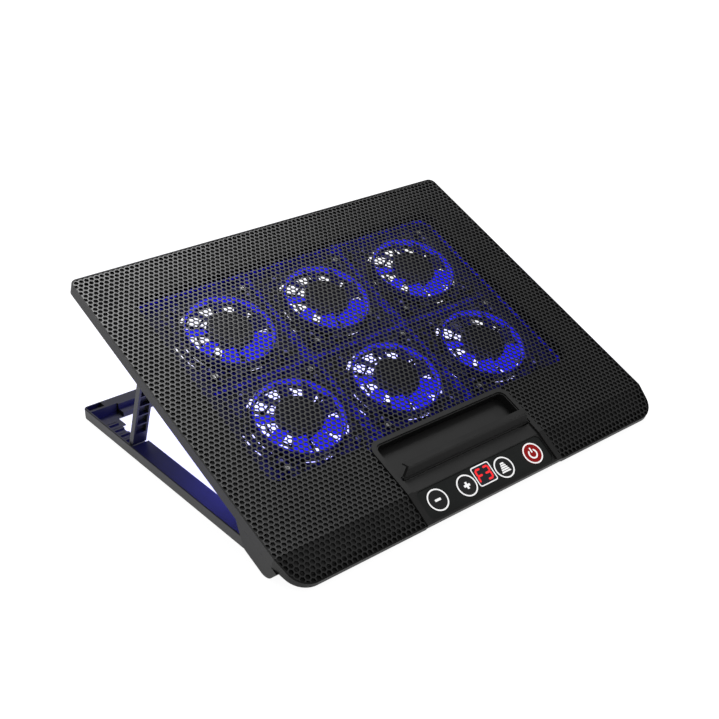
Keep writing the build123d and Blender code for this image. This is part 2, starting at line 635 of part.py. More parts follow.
# ---- control housing: border, tray behind the stop and the recessed control face
TRAY_FLOOR = -7.0
INNER_HALF = PANEL_HALF - BORDER
TRAY_FRONT = -275.9
with BuildPart() as strip_cut:
    extrude(bent_profile(20.0, -PANEL_RISE), amount=INNER_HALF, both=True)
    add(pad_block((-INNER_HALF, INNER_HALF), (-311.8, -270.0), -30.0, 10.0), mode=Mode.INTERSECT)
with BuildPart() as control_housing:
    extrude(bent_profile(PANEL_RISE, -30.0), amount=PANEL_HALF, both=True)
    with BuildSketch(PAD.offset(-20.0)):
        with Locations((0, (PANEL_BACK - PAD_DEPTH) / 2)):
            Rectangle(2 * PANEL_HALF, PANEL_BACK + PAD_DEPTH)
        fillet(vertices().group_by(Axis.Y)[-1], 9.5)
    extrude(amount=40.0, mode=Mode.INTERSECT)
    add(pad_block((-100, 100), (-340, -200), -40.0, PANEL_BOTTOM), mode=Mode.SUBTRACT)
    for half, depth, radius in ((INNER_HALF + 1.2, 0.9, 6.0), (INNER_HALF, PANEL_RISE - TRAY_FLOOR, 5.0)):
        back = PANEL_BACK - PANEL_HALF + half
        with BuildSketch(PAD.offset(PANEL_RISE)):
            with Locations((0, (back + TRAY_FRONT) / 2)):
                Rectangle(2 * half, back - TRAY_FRONT)
            fillet(vertices().group_by(Axis.Y)[-1], radius)
        extrude(amount=-depth, mode=Mode.SUBTRACT)
    add(strip_cut.part, mode=Mode.SUBTRACT)
    with BuildSketch(FACE):
        with Locations((0, -12.6)):
            RectangleRounded(129.4, 23.8, 5.0)
    extrude(amount=-1.75, mode=Mode.SUBTRACT)
    with BuildSketch(FACE):
        with Locations((0, -11.2)):
            Rectangle(122.0, 17.6)
        with Locations(*[(x, BUTTON_Y) for x in BUTTON_X.values()]):
            Circle(BUTTON_RADIUS + 0.35)
    extrude(amount=-12.0, mode=Mode.SUBTRACT)
    add(rod(-68.0, 68.0, FLAP_PIVOT, 1.02), mode=Mode.SUBTRACT)
    add(rod(-FLAP_HALF - 0.6, FLAP_HALF + 0.6, FLAP_PIVOT, 2.5), mode=Mode.SUBTRACT)
finish(control_housing, "control_housing")

with BuildPart() as control_face:
    with BuildSketch(FACE.offset(-0.5)):
        with Locations((0, -12.6)):
            RectangleRounded(129.0, 23.4, 4.8)
        with Locations(*[(x, BUTTON_Y) for x in BUTTON_X.values()]):
            Circle(BUTTON_RADIUS + 0.3, mode=Mode.SUBTRACT)
        with Locations(DISPLAY_SPOT):
            RectangleRounded(DISPLAY[0] + 0.2, DISPLAY[1] + 0.2, 2.3, mode=Mode.SUBTRACT)
    extrude(amount=-1.2)
finish(control_face, "control_face")

for name, x in BUTTON_X.items():
    with BuildPart() as button:
        with BuildSketch(FACE.offset(-1.65)):
            with Locations((x, BUTTON_Y)):
                Circle(BUTTON_RADIUS)
        extrude(amount=1.35)
        fillet(button.faces().sort_by(Axis.Z)[-1].edges(), 0.3)
    finish(button, f"button_{name}")

with BuildPart() as display_window:
    with BuildSketch(FACE.offset(-1.4)):
        with Locations(DISPLAY_SPOT):
            RectangleRounded(*DISPLAY, 2.2)
    extrude(amount=1.0)
finish(display_window, "display_window")

with BuildPart() as display_module:
    with BuildSketch(FACE.offset(-2.55)):
        with Locations(DISPLAY_SPOT):
            Rectangle(16.0, 12.0)
    extrude(amount=1.1)
finish(display_module, "display_module")

with BuildPart() as control_board:
    with BuildSketch(FACE.offset(-3.6)):
        with Locations((0, -11.0)):
            Rectangle(121.0, 15.0)
    extrude(amount=1.0)
finish(control_board, "control_board")

with BuildPart() as dome_switches:
    with BuildSketch(FACE.offset(-2.6)):
        with Locations(*[(x, BUTTON_Y) for x in BUTTON_X.values()]):
            Circle(3.0)
    extrude(amount=0.4)
finish(dome_switches, "dome_switches")

# ---- laptop stop: lies in the tray, raised to hold the laptop's front edge; its lip points back
SCOOP_X = 5.0
SCOOP_RADIUS = 32.0
SCOOP_DEPTH = 1.3
STOP_TOP = FLAP_Z + FLAP_LENGTH * sin(radians(FLAP_ANGLE)) + FLAP_THICK / 2 * cos(radians(FLAP_ANGLE))
LIP_FRONT = FLAP_Y + FLAP_LENGTH * cos(radians(FLAP_ANGLE)) - 1.0
with BuildPart() as laptop_stop:
    with BuildSketch(turned_plane(0, FLAP_Y, FLAP_Z, FLAP_ANGLE).offset(-FLAP_THICK / 2)):
        with BuildLine():
            Polyline(
                (FLAP_HALF, FLAP_LENGTH), (FLAP_HALF, 0), (-FLAP_HALF, 0),
                (-FLAP_HALF + 6.0, FLAP_LENGTH), close=True,
            )
        make_face()
    extrude(amount=FLAP_THICK)
    with BuildSketch(PAD.offset(STOP_TOP)):
        with BuildLine():
            Polyline(
                (FLAP_HALF, LIP_FRONT), (-FLAP_HALF + 6.0, LIP_FRONT),
                (-FLAP_HALF + 3.4, LIP_FRONT + FLAP_LIP), (FLAP_HALF, LIP_FRONT + FLAP_LIP), close=True,
            )
        make_face()
    extrude(amount=-LIP_THICK)
    add(pad_block((-FLAP_HALF - 1, FLAP_HALF + 1), (-290.0, -250.0), STOP_TOP, 20.0), mode=Mode.SUBTRACT)
    with BuildSketch(Plane(origin=pad_point(0, -255.0, 0), x_dir=PAD.x_dir, z_dir=-PAD.y_dir)):
        with Locations((SCOOP_X, -(STOP_TOP - SCOOP_DEPTH + SCOOP_RADIUS))):
            Circle(SCOOP_RADIUS)
    extrude(amount=40.0, mode=Mode.SUBTRACT)
    add(rod(-FLAP_HALF, FLAP_HALF, FLAP_PIVOT, 1.9))
    add(rod(-FLAP_HALF - 5, -FLAP_HALF + 3, FLAP_PIVOT, 1.0 + RUNNING), mode=Mode.SUBTRACT)
    add(rod(FLAP_HALF - 3, FLAP_HALF + 5, FLAP_PIVOT, 1.0 + RUNNING), mode=Mode.SUBTRACT)
finish(laptop_stop, "laptop_stop")

with BuildPart() as stop_pins:
    for side in SIDES.values():
        add(rod(*sorted((side * 67.9, side * (FLAP_HALF - 2.6))), FLAP_PIVOT, 1.0))
finish(stop_pins, "stop_pins")

# ---- USB board at the back edge, with two sockets
with BuildPart() as usb_board:
    add(pad_block((100.0, 148.0), (-24.0, -6.2), USB_LOW - 1.25, USB_LOW - 0.05))
    for x in (103.0, 145.0):
        for y in (-9.5, -21.5):
            add(pad_block((x - 1.5, x + 1.5), (y - 1.5, y + 1.5), SHELL_FLOOR + 0.05, USB_LOW - 1.25))
finish(usb_board, "usb_board")

with BuildPart() as usb_sockets:
    for x in USB_SPOTS:
        half = USB_WIDTH / 2
        add(pad_block((x - half, x + half), (-16.0, -0.6), USB_LOW, USB_HIGH))
        mouth = (x - half + 0.4, x + half - 0.4)
        add(pad_block(mouth, (-14.0, 1.0), USB_LOW + 0.4, USB_HIGH - 0.4), mode=Mode.SUBTRACT)
        add(pad_block((x - half + 1.0, x + half - 1.0), (-14.5, -2.0), USB_HIGH - 2.6, USB_HIGH - 0.7))
finish(usb_sockets, "usb_sockets")

# ---- wire loom: trunk between the fan columns, with a branch to each board
with BuildPart() as wire_loom:
    with BuildSketch(PAD.offset(SHELL_FLOOR + 0.2)):
        with Locations((-LOOM_X, -134.0), (LOOM_X, -134.0)):
            Rectangle(LOOM_WIDE, 226.0)
        with Locations((0, LOOM_Y)):
            Rectangle(FAN_PITCH_X * 2.9, LOOM_WIDE)
        with Locations((72.0, -23.0)):
            Rectangle(50.0, LOOM_WIDE)
    extrude(amount=2.4)
finish(wire_loom, "wire_loom")
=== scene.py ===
import json
import math

import bmesh
import bpy
from mathutils import Matrix, Vector

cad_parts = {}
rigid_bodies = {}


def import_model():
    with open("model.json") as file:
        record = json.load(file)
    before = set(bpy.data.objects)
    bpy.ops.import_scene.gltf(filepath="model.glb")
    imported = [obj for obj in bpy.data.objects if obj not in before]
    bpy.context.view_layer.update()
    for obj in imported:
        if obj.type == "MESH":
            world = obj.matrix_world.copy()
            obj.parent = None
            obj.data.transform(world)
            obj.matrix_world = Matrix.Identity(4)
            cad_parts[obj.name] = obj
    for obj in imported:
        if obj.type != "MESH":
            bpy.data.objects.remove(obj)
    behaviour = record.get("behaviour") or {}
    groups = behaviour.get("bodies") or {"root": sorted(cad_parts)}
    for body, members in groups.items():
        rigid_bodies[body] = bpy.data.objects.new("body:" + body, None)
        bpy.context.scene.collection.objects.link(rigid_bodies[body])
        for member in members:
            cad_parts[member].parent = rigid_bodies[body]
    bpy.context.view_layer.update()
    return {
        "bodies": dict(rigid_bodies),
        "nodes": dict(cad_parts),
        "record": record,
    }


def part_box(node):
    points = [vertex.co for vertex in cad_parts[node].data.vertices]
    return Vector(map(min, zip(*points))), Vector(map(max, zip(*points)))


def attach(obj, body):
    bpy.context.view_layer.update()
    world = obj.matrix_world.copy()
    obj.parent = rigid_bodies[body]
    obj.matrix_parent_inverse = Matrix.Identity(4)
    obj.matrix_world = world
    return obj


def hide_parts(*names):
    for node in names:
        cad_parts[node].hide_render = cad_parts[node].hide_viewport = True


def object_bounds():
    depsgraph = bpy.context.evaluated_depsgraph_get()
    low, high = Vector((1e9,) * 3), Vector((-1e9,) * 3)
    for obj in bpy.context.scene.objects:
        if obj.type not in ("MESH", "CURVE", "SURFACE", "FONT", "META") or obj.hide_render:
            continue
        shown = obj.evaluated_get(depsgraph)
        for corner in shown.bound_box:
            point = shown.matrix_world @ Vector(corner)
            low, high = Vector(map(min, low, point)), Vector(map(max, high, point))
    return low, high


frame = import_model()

# Laptop cooling pad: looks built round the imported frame. Lengths here are in millimetres of the
# pad's own measure: x across, y back (the back edge is 0), z along the pad's normal.
MM = 0.001
nodes = frame["nodes"]
record = frame["record"]
mounts = {mount["name"]: mount for mount in record["mounts"]}

# ---- the pad's frame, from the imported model
RIM_HEIGHT = 9.3
pad_normal = Vector(mounts["laptop_rest"]["axis"])
TILT = math.atan2(-pad_normal.y, pad_normal.z)
rim_low, rim_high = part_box("upper_frame")
PAD_WIDTH = (rim_high[0] - rim_low[0]) / MM
PAD_DEPTH = 313.5
pad_origin = Vector((0, rim_high[1] - RIM_HEIGHT * MM * math.sin(TILT), rim_high[2]))
PAD = Matrix.Translation(pad_origin) @ Matrix.Rotation(TILT, 4, "X") @ Matrix.Scale(MM, 4)

SLOPE_START = 287.0
SLOPE_DROP = 5.4
SLOPE_RATE = SLOPE_DROP / (PAD_DEPTH - SLOPE_START)
BACK_RADIUS = 6.0
FRONT_RADIUS = 18.0
FRONT_TAPER = 6.0

FAN_PITCH_X = 96.5
FAN_ROWS = (-90.0, -187.0)
FAN_BORE = 35.5
FAN_WALL = 1.6
PLATE_HALF = 43.0
SHELL_FLOOR = -13.2
WELL_HALF = 154.6
WELL_BACK = -35.0
WELL_FRONT = -235.0

PANEL_HALF = 71.0
PANEL_BACK = -236.0
PANEL_RISE = 0.8
FACE_ANGLE = math.atan(SLOPE_RATE)
FACE = PAD @ Matrix.Translation((0, -SLOPE_START, -PANEL_RISE)) @ Matrix.Rotation(FACE_ANGLE, 4, "X")
BUTTON_Y = -12.4
BUTTON_X = {"minus": -50.0, "plus": -20.6, "mode": 18.5, "power": 50.0}
DISPLAY_X = -1.1
DISPLAY_Y = -10.2


# ---- small tools
def new_piece(name, bm, matrix, material, body):
    """Mesh object from a bmesh made in millimetres, placed by a matrix and riding on a body."""
    mesh = bpy.data.meshes.new(name)
    bm.transform(matrix)
    bm.normal_update()
    bm.to_mesh(mesh)
    bm.free()
    piece = bpy.data.objects.new(name, mesh)
    bpy.context.scene.collection.objects.link(piece)
    mesh.materials.append(material)
    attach(piece, body)
    return piece


def prism(bm, outline, z_low, z_high, hole=None):
    """Closed flat piece over an outline, with an optional hole of as many points."""
    count = len(outline)
    rings = [outline] + ([hole] if hole else [])
    low = [[bm.verts.new((x, y, z_low)) for x, y in ring] for ring in rings]
    high = [[bm.verts.new((x, y, z_high)) for x, y in ring] for ring in rings]
    for index, (bottom, top) in enumerate(zip(low, high)):
        for k in range(count):
            after = (k + 1) % count
            quad = [bottom[k], bottom[after], top[after], top[k]]
            bm.faces.new(quad if index == 0 else quad[::-1])
    if hole:
        for k in range(count):
            after = (k + 1) % count
            bm.faces.new([high[0][k], high[0][after], high[1][after], high[1][k]])
            bm.faces.new([low[0][k], low[1][k], low[1][after], low[0][after]])
    else:
        bm.faces.new(high[0])
        bm.faces.new(low[0][::-1])


def circle(radius, x, y, count=48):
    """Points round a circle, anticlockwise."""
    step = 2 * math.pi / count
    return [(x + radius * math.cos(k * step), y + radius * math.sin(k * step)) for k in range(count)]


def arc(cx, cy, radius, start, end, count):
    """Points along an arc given in degrees."""
    turns = [math.radians(start + (end - start) * k / count) for k in range(count + 1)]
    return [(cx + radius * math.cos(turn), cy + radius * math.sin(turn)) for turn in turns]


def rounded_box(width, height, radius, x, y, steps=5):
    """Rounded rectangle, anticlockwise from its right side."""
    w, h = width / 2 - radius, height / 2 - radius
    points = arc(x + w, y + h, radius, 0, 90, steps)
    points += arc(x - w, y + h, radius, 90, 180, steps)
    points += arc(x - w, y - h, radius, 180, 270, steps)
    points += arc(x + w, y - h, radius, 270, 360, steps)
    return points


# ---- materials
RAMP_START = 0.35
RAMP_END = 0.65
CLOUD_SCALE = 38.0
GRAIN_DEPTH = 0.00008


def shader(name, base, roughness, metallic=0.0, **sockets):
    """Principled material; further sockets by name."""
    material = bpy.data.materials.new(name)
    material.use_nodes = True
    tree = material.node_tree
    bsdf = tree.nodes["Principled BSDF"]
    bsdf.inputs["Base Color"].default_value = (*base, 1)
    bsdf.inputs["Roughness"].default_value = roughness
    bsdf.inputs["Metallic"].default_value = metallic
    for socket, value in sockets.items():
        bsdf.inputs[socket.replace("_", " ")].default_value = value
    return material, tree, bsdf


def object_noise(tree, scale, detail):
    """Noise in object space, scale in features per metre."""
    coords = tree.nodes.new("ShaderNodeTexCoord")
    noise = tree.nodes.new("ShaderNodeTexNoise")
    noise.inputs["Scale"].default_value = scale
    noise.inputs["Detail"].default_value = detail
    tree.links.new(coords.outputs["Object"], noise.inputs["Vector"])
    return noise


def ramp(tree, source, low, high):
    """Colour ramp between two colours."""
    node = tree.nodes.new("ShaderNodeValToRGB")
    node.color_ramp.elements[0].position = RAMP_START
    node.color_ramp.elements[1].position = RAMP_END
    node.color_ramp.elements[0].color = (*low, 1)
    node.color_ramp.elements[1].color = (*high, 1)
    tree.links.new(source, node.inputs["Fac"])
    return node


def textured(name, base, roughness, grain=2600.0, bump=0.12, mottle=0.12, spread=0.06, painted_shade=None,
             **sockets):
    """Moulded or painted surface: mottled colour, uneven gloss and a fine grain.

    An optional function of the tree may give a socket that scales the colour from place to place, for painted
    shade."""
    material, tree, bsdf = shader(name, base, roughness, **sockets)
    cloud = object_noise(tree, CLOUD_SCALE, 4.0)
    dark = [channel * (1 - mottle) for channel in base]
    light = [min(channel * (1 + mottle), 1.0) for channel in base]
    colour = ramp(tree, cloud.outputs["Fac"], dark, light).outputs["Color"]
    if painted_shade:
        scaled = tree.nodes.new("ShaderNodeVectorMath")
        scaled.operation = "SCALE"
        tree.links.new(colour, scaled.inputs[0])
        tree.links.new(painted_shade(tree), scaled.inputs["Scale"])
        colour = scaled.outputs["Vector"]
    tree.links.new(colour, bsdf.inputs["Base Color"])
    fine = object_noise(tree, grain, 2.0)
    gloss = tree.nodes.new("ShaderNodeMapRange")
    gloss.inputs["To Min"].default_value = roughness - spread
    gloss.inputs["To Max"].default_value = roughness + spread
    tree.links.new(cloud.outputs["Fac"], gloss.inputs["Value"])
    tree.links.new(gloss.outputs["Result"], bsdf.inputs["Roughness"])
    dent = tree.nodes.new("ShaderNodeBump")
    dent.inputs["Strength"].default_value = bump
    dent.inputs["Distance"].default_value = GRAIN_DEPTH
    tree.links.new(fine.outputs["Fac"], dent.inputs["Height"])
    tree.links.new(dent.outputs["Normal"], bsdf.inputs["Normal"])
    return material


def calc(tree, operation, a, b=0.0, c=0.0):
    """Math node; a, b and c are numbers or sockets."""
    node = tree.nodes.new("ShaderNodeMath")
    node.operation = operation
    for index, value in enumerate((a, b, c)):
        if isinstance(value, (int, float)):
            node.inputs[index].default_value = value
        else:
            tree.links.new(value, node.inputs[index])
    return node.outputs["Value"]


def product(tree, *factors):
    """All the factors multiplied together."""
    total = factors[0]
    for factor in factors[1:]:
        total = calc(tree, "MULTIPLY", total, factor)
    return total


def pad_coordinates(tree):
    """Sockets x, y, z in the pad's own millimetres."""
    coords = tree.nodes.new("ShaderNodeTexCoord")
    mapping = tree.nodes.new("ShaderNodeMapping")
    mapping.vector_type = "TEXTURE"
    mapping.inputs["Location"].default_value = pad_origin
    mapping.inputs["Rotation"].default_value = (TILT, 0, 0)
    mapping.inputs["Scale"].default_value = (MM, MM, MM)
    split = tree.nodes.new("ShaderNodeSeparateXYZ")
    tree.links.new(coords.outputs["Object"], mapping.inputs["Vector"])
    tree.links.new(mapping.outputs["Vector"], split.inputs["Vector"])
    return split.outputs["X"], split.outputs["Y"], split.outputs["Z"]


def fan_coordinates(tree):
    """Sockets x, y and radius from the nearest fan's centre, and z in the pad's own millimetres."""
    x, y, z = pad_coordinates(tree)
    pitch_y = FAN_ROWS[0] - FAN_ROWS[1]
    near_x = calc(tree, "WRAP", x, FAN_PITCH_X / 2, -FAN_PITCH_X / 2)
    near_y = calc(tree, "WRAP", calc(tree, "SUBTRACT", y, FAN_ROWS[0]), pitch_y / 2, -pitch_y / 2)
    square = calc(tree, "ADD", calc(tree, "MULTIPLY", near_x, near_x), calc(tree, "MULTIPLY", near_y, near_y))
    return near_x, near_y, calc(tree, "SQRT", square), z


def smooth_step(tree, value, start, end):
    """0 before start and 1 after end, smooth between."""
    node = tree.nodes.new("ShaderNodeMapRange")
    node.interpolation_type = "SMOOTHSTEP"
    node.inputs["From Min"].default_value = start
    node.inputs["From Max"].default_value = end
    tree.links.new(value, node.inputs["Value"])
    return node.outputs["Result"]


def falling(tree, value, start, end):
    """1 before start and 0 after end, smooth between."""
    return calc(tree, "SUBTRACT", 1.0, smooth_step(tree, value, start, end))


# Painted shade inside the casing, and where it ends: each pair is a soft edge, from painted shade to full
# colour.
INSIDE_TOP = (-3.0, -2.4)
INSIDE_LOW = (-14.2, -13.6)
INSIDE_SIDE = (187.9, 188.4)
INSIDE_BACK = (-2.2, -1.6)
INSIDE_SHADE = 0.9
# Painted shade on the stop's face: the lip's soft edge, and the share of colour the face keeps.
LIP_EDGE = (5.2, 6.6)
SHADED_FACE_SHARE = 0.35


def painted_shade_inside(tree):
    """Painted shade inside the casing, full colour outside it."""
    x, y, z = pad_coordinates(tree)
    below = falling(tree, z, *INSIDE_TOP)
    above = smooth_step(tree, z, *INSIDE_LOW)
    within = falling(tree, calc(tree, "ABSOLUTE", x), *INSIDE_SIDE)
    behind = falling(tree, y, *INSIDE_BACK)
    return calc(tree, "MULTIPLY_ADD", product(tree, below, above, within, behind), -INSIDE_SHADE, 1.0)


def painted_shade_below_lip(tree):
    """Painted shade on the stop's face, which is darker than its lip."""
    z = pad_coordinates(tree)[2]
    return calc(tree, "MULTIPLY_ADD", smooth_step(tree, z, *LIP_EDGE), 1.0 - SHADED_FACE_SHARE, SHADED_FACE_SHARE)


def emitting(material, colour, strength):
    """Gives a material an even light of its own."""
    bsdf = material.node_tree.nodes["Principled BSDF"]
    bsdf.inputs["Emission Color"].default_value = (*colour, 1)
    bsdf.inputs["Emission Strength"].default_value = strength
    return material


BLUE = (0.014, 0.01, 1.0)
WHITE = (1.0, 1.0, 1.0)
# Painted shade darkens casing_plastic inside the casing, and socket_metal and solder_mask below.
casing = textured("casing_plastic", (0.009, 0.009, 0.009), 0.45, painted_shade=painted_shade_inside, Specular_IOR_Level=0.22)
stand = textured("stand_plastic", (0.014, 0.014, 0.015), 0.42, Specular_IOR_Level=0.3)
panel = textured("panel_plastic", (0.01, 0.01, 0.01), 0.45, Specular_IOR_Level=0.35)
# Painted shade darkens the stop's face below its lip.
stop = textured("stop_plastic", (0.02, 0.02, 0.02), 0.5, painted_shade=painted_shade_below_lip, Specular_IOR_Level=0.2)
control = textured(
    "face_plastic", (0.0065, 0.0078, 0.0074), 0.34, grain=4000.0, bump=0.05, Specular_IOR_Level=0.35)
paint = textured("mesh_paint", (0.004, 0.004, 0.004), 0.36, grain=3500.0, bump=0.08, Specular_IOR_Level=0.65)
backing = textured("backing_plastic", (0.017, 0.017, 0.017), 0.5, Specular_IOR_Level=0.35)
rubber = textured("rubber", (0.02, 0.02, 0.02), 0.8, grain=1500.0, bump=0.3)
steel = textured("zinc_steel", (0.55, 0.55, 0.56), 0.32, mottle=0.06, metallic=1.0)
dark_steel = textured("blackened_steel", (0.035, 0.035, 0.038), 0.45, mottle=0.08, metallic=1.0)
socket_metal = textured(
    "socket_metal", (0.5, 0.5, 0.51), 0.35, mottle=0.06, painted_shade=painted_shade_inside, metallic=1.0)
board = textured("solder_mask", (0.01, 0.09, 0.035), 0.4, painted_shade=painted_shade_inside)
wire = textured("wire_skin", (0.008, 0.008, 0.009), 0.6, Specular_IOR_Level=0.1)
core = textured("motor_core", (0.02, 0.02, 0.022), 0.45, metallic=0.6)
button_dark = textured("button_dark", (0.008, 0.008, 0.009), 0.3, grain=5000.0, bump=0.03)
button_red = textured(
    "button_red", (0.34, 0.005, 0.006), 0.36, grain=5000.0, bump=0.03, Specular_IOR_Level=0.2)
ink = textured("white_print", (0.9, 0.9, 0.9), 0.45, mottle=0.03, bump=0.03)
# Painted light: the white print glows faintly of its own, though it is no lamp.
emitting(ink, WHITE, 0.35)
window = textured("display_window", (0.012, 0.014, 0.022), 0.12, mottle=0.05, bump=0.01, spread=0.02)
digit = textured("display_red", (0.5, 0.01, 0.012), 0.4, mottle=0.05, bump=0.0)
emitting(digit, (1.0, 0.022, 0.03), 0.75)

# The fans' blue light. Each pair is a soft edge; the lit side of a fan faces front left.
LIT_SIDE = (-0.5, -0.866)
LIT_EDGE = (-6.0, 3.0)
UNLIT_SHARE = 0.04
HUB_EDGE = (19.1, 19.6)
BORE_EDGE = (FAN_BORE + 0.2, FAN_BORE + FAN_WALL + 0.2)
BORE_FOOT = (SHELL_FLOOR + 1.0, SHELL_FLOOR + 3.6)
BORE_START = (30.0, 34.0)
PLATE_START = (FAN_BORE + FAN_WALL + 1.0, FAN_BORE + FAN_WALL + 3.0)
PLATE_SPECKS = 190.0
PLATE_PATCHES = (0.42, 0.62)
PLATE_LIGHT = 0.07
BAY_SIDE = (WELL_HALF, WELL_HALF + 1.5)
BAY_FRONT = (WELL_FRONT - 20.0, WELL_FRONT)
BAY_BACK = (WELL_BACK, WELL_BACK + 1.5)
BAY_FLOOR = (SHELL_FLOOR - 0.3, SHELL_FLOOR - 0.05)
BAY_TOP = (SHELL_FLOOR + 3.0, SHELL_FLOOR + 3.4)
BAND_EDGE = (PLATE_HALF - 1.0, PLATE_HALF)
BAND_FRONT = (-24.0, 2.0)
BAND_MIDDLE = (130.0, 142.0)
BAY_SPECKS = 150.0
BAY_PATCHES = (0.44, 0.56)
RIB_FOOT = (SHELL_FLOOR + 0.3, SHELL_FLOOR + 0.8)
ROW_SHARE = 0.1
BAY_LEAST = 0.02
# Share of a soft mask's light, and the even light that stays where the mask is 0.
COLUMN_LIGHT = (0.42, 0.05)
MIDDLE_LIGHT = (0.75, 0.1)
RIB_LIGHT = (0.4, 0.12)


def glowing(material, mask_of, strength):
    """Adds the blue light of the fans' LEDs where mask_of(tree) says."""
    tree = material.node_tree
    bsdf = tree.nodes["Principled BSDF"]
    bsdf.inputs["Emission Color"].default_value = (*BLUE, 1)
    tree.links.new(calc(tree, "MULTIPLY", mask_of(tree), strength), bsdf.inputs["Emission Strength"])
    return material


def blade_glow(tree):
    """Blades are bright on the lit side; the hub itself stays dark."""
    near_x, near_y, radius, _ = fan_coordinates(tree)
    along_x = calc(tree, "MULTIPLY", near_x, LIT_SIDE[0])
    along_y = calc(tree, "MULTIPLY", near_y, LIT_SIDE[1])
    lit = smooth_step(tree, calc(tree, "ADD", along_x, along_y), *LIT_EDGE)
    lit = calc(tree, "MULTIPLY_ADD", lit, 1.0 - UNLIT_SHARE, UNLIT_SHARE)
    return product(tree, smooth_step(tree, radius, *HUB_EDGE), lit)


def duct_glow(tree):
    """The bore's wall and the rim of the duct, and faint patches on the plate."""
    _, _, radius, z = fan_coordinates(tree)
    wall = product(
        tree, falling(tree, radius, *BORE_EDGE), smooth_step(tree, z, *BORE_FOOT),
        smooth_step(tree, radius, *BORE_START))
    specks = object_noise(tree, PLATE_SPECKS, 2.0)
    patchy = product(tree, smooth_step(tree, specks.outputs["Fac"], *PLATE_PATCHES), PLATE_LIGHT)
    plate = product(tree, smooth_step(tree, radius, *PLATE_START), patchy)
    return calc(tree, "MAXIMUM", wall, plate)


def bay_glow(tree):
    """Light on the casing's floor between the fans' plates, and on the rib round the bay."""
    near_x, near_y, _, z = fan_coordinates(tree)
    x, y, _ = pad_coordinates(tree)
    off_centre = calc(tree, "ABSOLUTE", x)
    inside = product(
        tree, falling(tree, off_centre, *BAY_SIDE), smooth_step(tree, y, *BAY_FRONT),
        falling(tree, y, *BAY_BACK))
    specks = object_noise(tree, BAY_SPECKS, 2.0)
    patchy = smooth_step(tree, specks.outputs["Fac"], *BAY_PATCHES)
    between = smooth_step(tree, calc(tree, "ABSOLUTE", near_x), *BAND_EDGE)
    rows = smooth_step(tree, calc(tree, "ABSOLUTE", near_y), *BAND_EDGE)
    front = falling(tree, near_y, *BAND_FRONT)
    columns = product(tree, between, front, calc(tree, "MULTIPLY_ADD", patchy, *COLUMN_LIGHT))
    band = calc(tree, "MAXIMUM", columns, product(tree, rows, patchy, ROW_SHARE))
    middle = calc(tree, "MULTIPLY_ADD", falling(tree, off_centre, *BAND_MIDDLE), *MIDDLE_LIGHT)
    rib = product(tree, smooth_step(tree, z, *RIB_FOOT), calc(tree, "MULTIPLY_ADD", patchy, *RIB_LIGHT))
    total = calc(tree, "ADD", calc(tree, "MAXIMUM", product(tree, band, middle), rib), BAY_LEAST)
    return product(tree, smooth_step(tree, z, *BAY_FLOOR), total, falling(tree, z, *BAY_TOP), inside)


blade = glowing(textured("fan_blade", (0.006, 0.006, 0.02), 0.4, Specular_IOR_Level=0.15), blade_glow, 1.0)
duct = glowing(textured("fan_duct", (0.005, 0.005, 0.007), 0.45, Specular_IOR_Level=0.1), duct_glow, 0.8)
# Painted shade darkens the shell inside the casing.
shell = textured("shell_plastic", (0.02, 0.02, 0.022), 0.5, painted_shade=painted_shade_inside, Specular_IOR_Level=0.15)
shell = glowing(shell, bay_glow, 0.75)
wire = glowing(wire, bay_glow, 0.6)
led = emitting(textured("led_lens", (0.25, 0.25, 0.5), 0.3), BLUE, 0.12)

finishes = {
    "casing_plastic": casing, "stand_plastic": stand, "mesh_metal": paint, "panel_plastic": panel,
    "face_plastic": control, "button_black": button_dark, "button_red": button_red,
    "display_glass": window, "display_red": digit, "board_green": board, "steel": steel,
    "rubber_black": rubber, "led_blue": led, "wire_black": wire, "fan_plastic": duct,
    "fan_blade": blade, "motor_metal": core,
}
for subpart in record["subparts"]:
    node = nodes[subpart["node"]]
    node.data.materials.clear()
    node.data.materials.append(finishes[subpart["material_slot"]])
nodes["bottom_shell"].data.materials[0] = shell
nodes["laptop_stop"].data.materials[0] = stop
nodes["usb_sockets"].data.materials[0] = socket_metal
for name in ("leg_pins", "stop_pins"):
    nodes[name].data.materials[0] = dark_steel

# Moulded edges are slightly round.
SOFT_EDGES = {
    "base_frame": 0.6, "leg_left": 0.5, "leg_right": 0.5, "cheek_left": 0.7, "cheek_right": 0.7,
    "control_housing": 0.5, "laptop_stop": 0.4, "upper_frame": 0.35,
}
SHARP_ANGLE = 40
for node_name, width in SOFT_EDGES.items():
    bevel = nodes[node_name].modifiers.new("soft_edge", "BEVEL")
    bevel.width = width * MM
    bevel.segments = 2
    bevel.limit_method = "ANGLE"
    bevel.angle_limit = math.radians(SHARP_ANGLE)
    bevel.use_clamp_overlap = True


# ---- the perforated top sheet, folded over the front slope
HEX_PITCH = 4.466
ROW_PITCH = 3.837
HOLE_FLATS = 3.46
SHEET_TOP = -0.2
SHEET_THICK = 0.8
SHEET_INSET = 1.25
UNDER_PANEL = 3.0
FIRST_HOLE_X = 2.07
FIRST_HOLE_Y = 0.35
PAST_FRONT = -330.0
PAST_BACK = 5.0
CUT_LIMIT = 1e-5
WELD_LIMIT = 2e-4


def front_corner(inset):
    """Right front corner of the plan, up to where the sides run straight."""
    side = PAD_WIDTH / 2 - inset
    front = -PAD_DEPTH + inset
    nose = side - FRONT_TAPER
    bend = FRONT_RADIUS - inset
    lean = math.degrees(math.atan2(FRONT_TAPER, PAD_DEPTH - inset - SLOPE_START))
    reach = bend * math.tan(math.radians((90 - lean) / 2))
    return arc(nose - reach, front + bend, bend, -90, -lean, 8) + [(side, -SLOPE_START)]


def mirrored(right):
    """Outline from its right half, given from the front to the back."""
    return right + [(-x, y) for x, y in reversed(right)]


